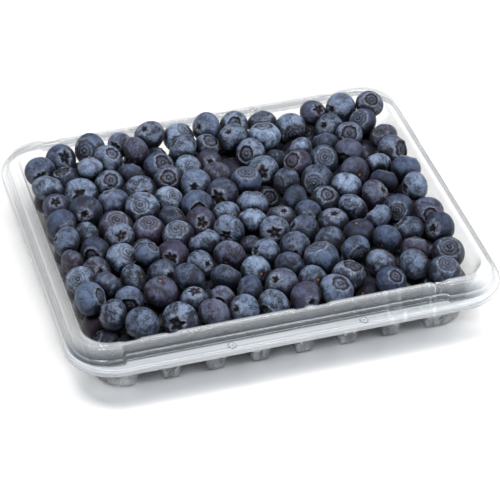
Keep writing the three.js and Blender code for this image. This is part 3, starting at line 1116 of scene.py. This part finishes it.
def weigh(tree, parts, offset):
    """offset plus a sum of outputs, each times its own weight, kept between 0 and 1."""
    total = offset
    for output, weight in parts:
        total = arithmetic(tree, "MULTIPLY_ADD", output, weight, total, clamp=False)
    return arithmetic(tree, "ADD", total, 0.0, clamp=True)


def skin_ripples(tree, turn):
    """Fine rings round the crown, fading away from it."""
    wave = arithmetic(tree, "SINE", arithmetic(tree, "MULTIPLY", turn, RIPPLES))
    near = stretch(tree, turn, 0.5, 1.0, 1.0, 0.0)
    return arithmetic(tree, "MULTIPLY", stretch(tree, wave, -1.0, 1.0), near)


def bloom_noise(tree, place, grain):
    """Patches, mottle, flecks and streaks of the bloom, each from 0 to 1."""
    patches = stretch(tree, noise(tree, place, 1.9, 3, 0.6), 0.36, 0.62)
    mottle = stretch(tree, noise(tree, place, 6, 4, 0.7), 0.40, 0.60)
    fleck = stretch(tree, noise(tree, place, 15, 3, 0.7), 0.44, 0.60)
    streak = stretch(tree, noise(tree, grain, 2.2, 3, 0.6), 0.36, 0.64)
    return patches, mottle, fleck, streak


def bloom_colour(tree, mood, wax):
    """Dark skin under what is left of the bloom, mauve on a few berries."""
    purple = stretch(tree, mood[1], 0.62, 1.0)
    skin = mix_colours(tree, purple, SKIN_BLUE, SKIN_PURPLE)
    bloom = mix_colours(tree, mood[2], BLOOM_BLUE, BLOOM_PALE)
    mauve = arithmetic(tree, "MULTIPLY", purple, MAUVE_SHARE)
    bloom = mix_colours(tree, mauve, bloom, BLOOM_MAUVE)
    return mix_colours(tree, wax, skin, bloom)


# %% Crown, scar and the whole skin


def crown_colour(tree, colour, place, zone, mood, mottle):
    """The skin's colour with the pit, the dry rim and the scar laid over it."""
    bits = stretch(tree, noise(tree, place, 9, 2), 0.56, 0.66)
    rust = weigh(tree, ((mood[1], 0.5), (bits, 0.8)), -0.4)
    pit = mix_colours(tree, rust, PIT_BROWN, PIT_RUST)
    colour = mix_colours(tree, zone[0], colour, pit)
    dry = mix_colours(tree, bits, RIM_PALE, RIM_TAN)
    rim = arithmetic(tree, "MULTIPLY", zone[1], stretch(tree, mottle, 0.0, 1.0, 0.25, 1.0))
    colour = mix_colours(tree, rim, colour, dry)
    return mix_colours(tree, zone[2], colour, SCAR_TAN)


def berry_skin():
    material, tree = new_material("berry_skin")
    place, _ = read_numbers(tree, "berry_place")
    _, zone = read_numbers(tree, "berry_zone")
    _, mood = read_numbers(tree, "berry_mood")
    grain, grain_parts = read_numbers(tree, "berry_grain")
    patches, mottle, fleck, streak = bloom_noise(tree, place, grain)
    rings = skin_ripples(tree, grain_parts[2])
    _, shade_marks = read_numbers(tree, "berry_shade_painted")
    # the shade marks cut the bloom: painted shade between berries and deep in the heap
    wax = weigh(tree, ((mood[0], 0.34), (patches, 0.34), (mottle, 0.14), (streak, 0.18),
                       (fleck, 0.17), (rings, 0.08), (shade_marks[0], -0.52), (shade_marks[1], -0.32)), -0.30)
    colour = bloom_colour(tree, mood, wax)
    colour = crown_colour(tree, colour, place, zone, mood, mottle)
    # painted shade: the colour is pulled towards near black near the next berry, deep in the heap
    # and in the crown's pit
    painted_shade = weigh(tree, ((shade_marks[0], 0.65), (shade_marks[1], 0.45), (zone[0], 0.7)), -0.1)
    colour = mix_colours(tree, painted_shade, colour, DEEP_SHADE_COLOUR)
    height = weigh(tree, ((mottle, 0.45), (fleck, 0.3), (streak, 0.25)), 0.0)
    shader = add_node(tree, "ShaderNodeBsdfPrincipled", IOR=1.45)
    shader.inputs["Sheen Weight"].default_value = 0.06
    shader.inputs["Sheen Roughness"].default_value = 0.4
    tree.links.new(colour, shader.inputs["Base Color"])
    shine = stretch(tree, painted_shade, 0.0, 0.8, 0.5, 0.1)
    tree.links.new(shine, shader.inputs["Specular IOR Level"])
    tree.links.new(stretch(tree, wax, 0.0, 0.8, 0.30, 0.52), shader.inputs["Roughness"])
    tree.links.new(bumped(tree, height, 0.6, 0.0005), shader.inputs["Normal"])
    to_surface(tree, shader.outputs["BSDF"])
    return material


skin = berry_skin()
for piece in heap_pieces:
    piece.data.materials.append(skin)
    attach(piece, "root")
print(f"blueberry skin is on {len(heap_pieces)} pieces")

# %% [markdown]
# ## The heap's core
# Deep in the heap nothing shows but darkness between the fruit. Instead of more berries, a
# lumpy block fills that space, coloured near black: painted shade for the unlit fruit inside.
# It follows the tray's wall, well inside it, and stops below the berries on top. Its lumps
# are berry sized, made by moving points along waves, so that a glimpse between two berries
# never meets a flat wall.

# %% Core
CORE_LEVELS = ((13.5, 17), (18, 16), (22, 17), (24, 20), (25, 26), (25.2, 40))
LUMP_PITCH = 15.5
LUMP_SHAPE = np.array([0.55, 0.55, 1.1])
LUMPS_ABOVE_Z = 14


def core_outline(height, inset):
    inset_x, inset_y, corner = wall_at(height)
    level = (inset_x + inset, inset_y + inset, max(corner - inset, 3), height, 0, 0)
    return level_points(level)


def lumps(points):
    """Berry-sized waves over a set of points."""
    turn = 2 * math.pi / LUMP_PITCH
    x, y, z = points.T * turn
    wave = np.sin(x) * np.sin(y + 1) + np.sin(z)
    return points + wave[:, None] * LUMP_SHAPE * (points[:, 2:] > LUMPS_ABOVE_Z)


def heap_core():
    rings = [core_outline(*level) for level in CORE_LEVELS]
    around_core = len(rings[0])
    points = np.concatenate(rings + [[[0, 0, CORE_LEVELS[0][0]], [0, 0, CORE_LEVELS[-1][0]]]])
    faces = ring_faces(len(rings), around_core)
    bottom = len(rings) * around_core
    last = bottom - around_core
    follow = [(i + 1) % around_core for i in range(around_core)]
    faces += [(j, i, bottom) for i, j in enumerate(follow)]
    faces += [(last + i, last + j, bottom + 1) for i, j in enumerate(follow)]
    return lumps(points), faces


# near-black painted shade, standing for unlit berries deep in the heap
def core_shade_material():
    material, tree = new_material("heap_shade_painted")
    place = add_node(tree, "ShaderNodeTexCoord")
    mottle = noise(tree, place.outputs["Object"], 220, 3)
    colour = mix_colours(tree, mottle, (0.004, 0.005, 0.010), (0.014, 0.016, 0.028))
    shader = add_node(tree, "ShaderNodeBsdfPrincipled")
    tree.links.new(colour, shader.inputs["Base Color"])
    tree.links.new(stretch(tree, mottle, 0.3, 0.7, 0.7, 0.9), shader.inputs["Roughness"])
    tree.links.new(bumped(tree, mottle, 0.4, 0.001), shader.inputs["Normal"])
    to_surface(tree, shader.outputs["BSDF"])
    return material


core = add_mesh("heap_core", *heap_core())
core.data.materials.append(core_shade_material())
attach(core, "root")
for piece in heap_pieces + [core]:
    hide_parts("berries")
print(f"core: {len(core.data.polygons)} faces")

# %% [markdown]
# ## Table and light
# The tray stands on a plain white table. The room gives soft light, more from above and
# the right than from low down, so that the clear sheet has something darker to mirror. A
# broad lamp above the front right is the main light, a smaller one above the front left
# makes the small bright spots, and a wide, weak one behind draws pale edges. The plain
# "Standard" view keeps the white table white. Light passes many sheets on its way through
# the tray, so the limit of see-through bounces is raised.

# %% Table
TABLE_HALF = 2.5


def table_white():
    material, tree = new_material("table_white")
    place = add_node(tree, "ShaderNodeTexCoord")
    grain = noise(tree, place.outputs["Object"], 30, 3)
    colour = mix_colours(tree, grain, (0.90, 0.90, 0.90), (0.93, 0.93, 0.93))
    shader = add_node(tree, "ShaderNodeBsdfPrincipled", Roughness=0.9)
    shader.inputs["Specular IOR Level"].default_value = 0.1
    tree.links.new(colour, shader.inputs["Base Color"])
    to_surface(tree, shader.outputs["BSDF"])
    return material


half = TABLE_HALF / MM
table = add_mesh("table", [(-half, -half, 0), (half, -half, 0), (half, half, 0), (-half, half, 0)],
                 [(0, 1, 2, 3)], smooth=False)
table.data.materials.append(table_white())
print(f"table: {2 * TABLE_HALF:.0f} m wide")

# %% Lights
ROOM_LIGHT = 0.42
ROOM_DARKEST = 0.2
TOWARD_RIGHT = 0.6
SHEET_BOUNCES = 32


def room_light():
    """A white room, bright overhead and to the right, and dim near the table."""
    world = bpy.data.worlds.new("room")
    bpy.context.scene.world = world
    world.use_nodes = True
    tree = world.node_tree
    place = add_node(tree, "ShaderNodeTexCoord")
    parts = add_node(tree, "ShaderNodeSeparateXYZ")
    tree.links.new(place.outputs["Generated"], parts.inputs[0])
    x, _, z = parts.outputs
    upward = arithmetic(tree, "MULTIPLY_ADD", x, TOWARD_RIGHT, z)
    glow = stretch(tree, upward, 0.2, 0.9, ROOM_DARKEST, 1.0)
    colour = mix_colours(tree, glow, (0, 0, 0), (1.0, 1.0, 1.0))
    background = tree.nodes["Background"]
    background.inputs["Strength"].default_value = ROOM_LIGHT
    tree.links.new(colour, background.inputs["Color"])
    return world


def soft_lamp(name, place, target, width, power):
    """A square lamp that faces target. Places and width in metres."""
    light = bpy.data.lights.new(name, "AREA")
    light.shape = "SQUARE"
    light.size = width
    light.energy = power
    lamp = bpy.data.objects.new(name, light)
    lamp.location = place
    away = np.array(place) - np.array(target)
    lamp.rotation_euler = (math.acos(away[2] / np.linalg.norm(away)), 0,
                           math.atan2(away[1], away[0]) + math.pi / 2)
    bpy.context.scene.collection.objects.link(lamp)
    return lamp


room_light()
soft_lamp("top_lamp", (0.28, -0.28, 1.15), (0, 0, 0), 0.8, 12)
soft_lamp("key_lamp", (-0.35, -0.25, 1.15), (0, 0, 0), 0.3, 8)
soft_lamp("edge_lamp", (0.36, 1.02, 0.84), (0, 0, 0), 1.2, 0.8)
bpy.context.scene.view_settings.view_transform = "Standard"
bpy.context.scene.cycles.transparent_max_bounces = SHEET_BOUNCES
print("the room and three lamps are lit")
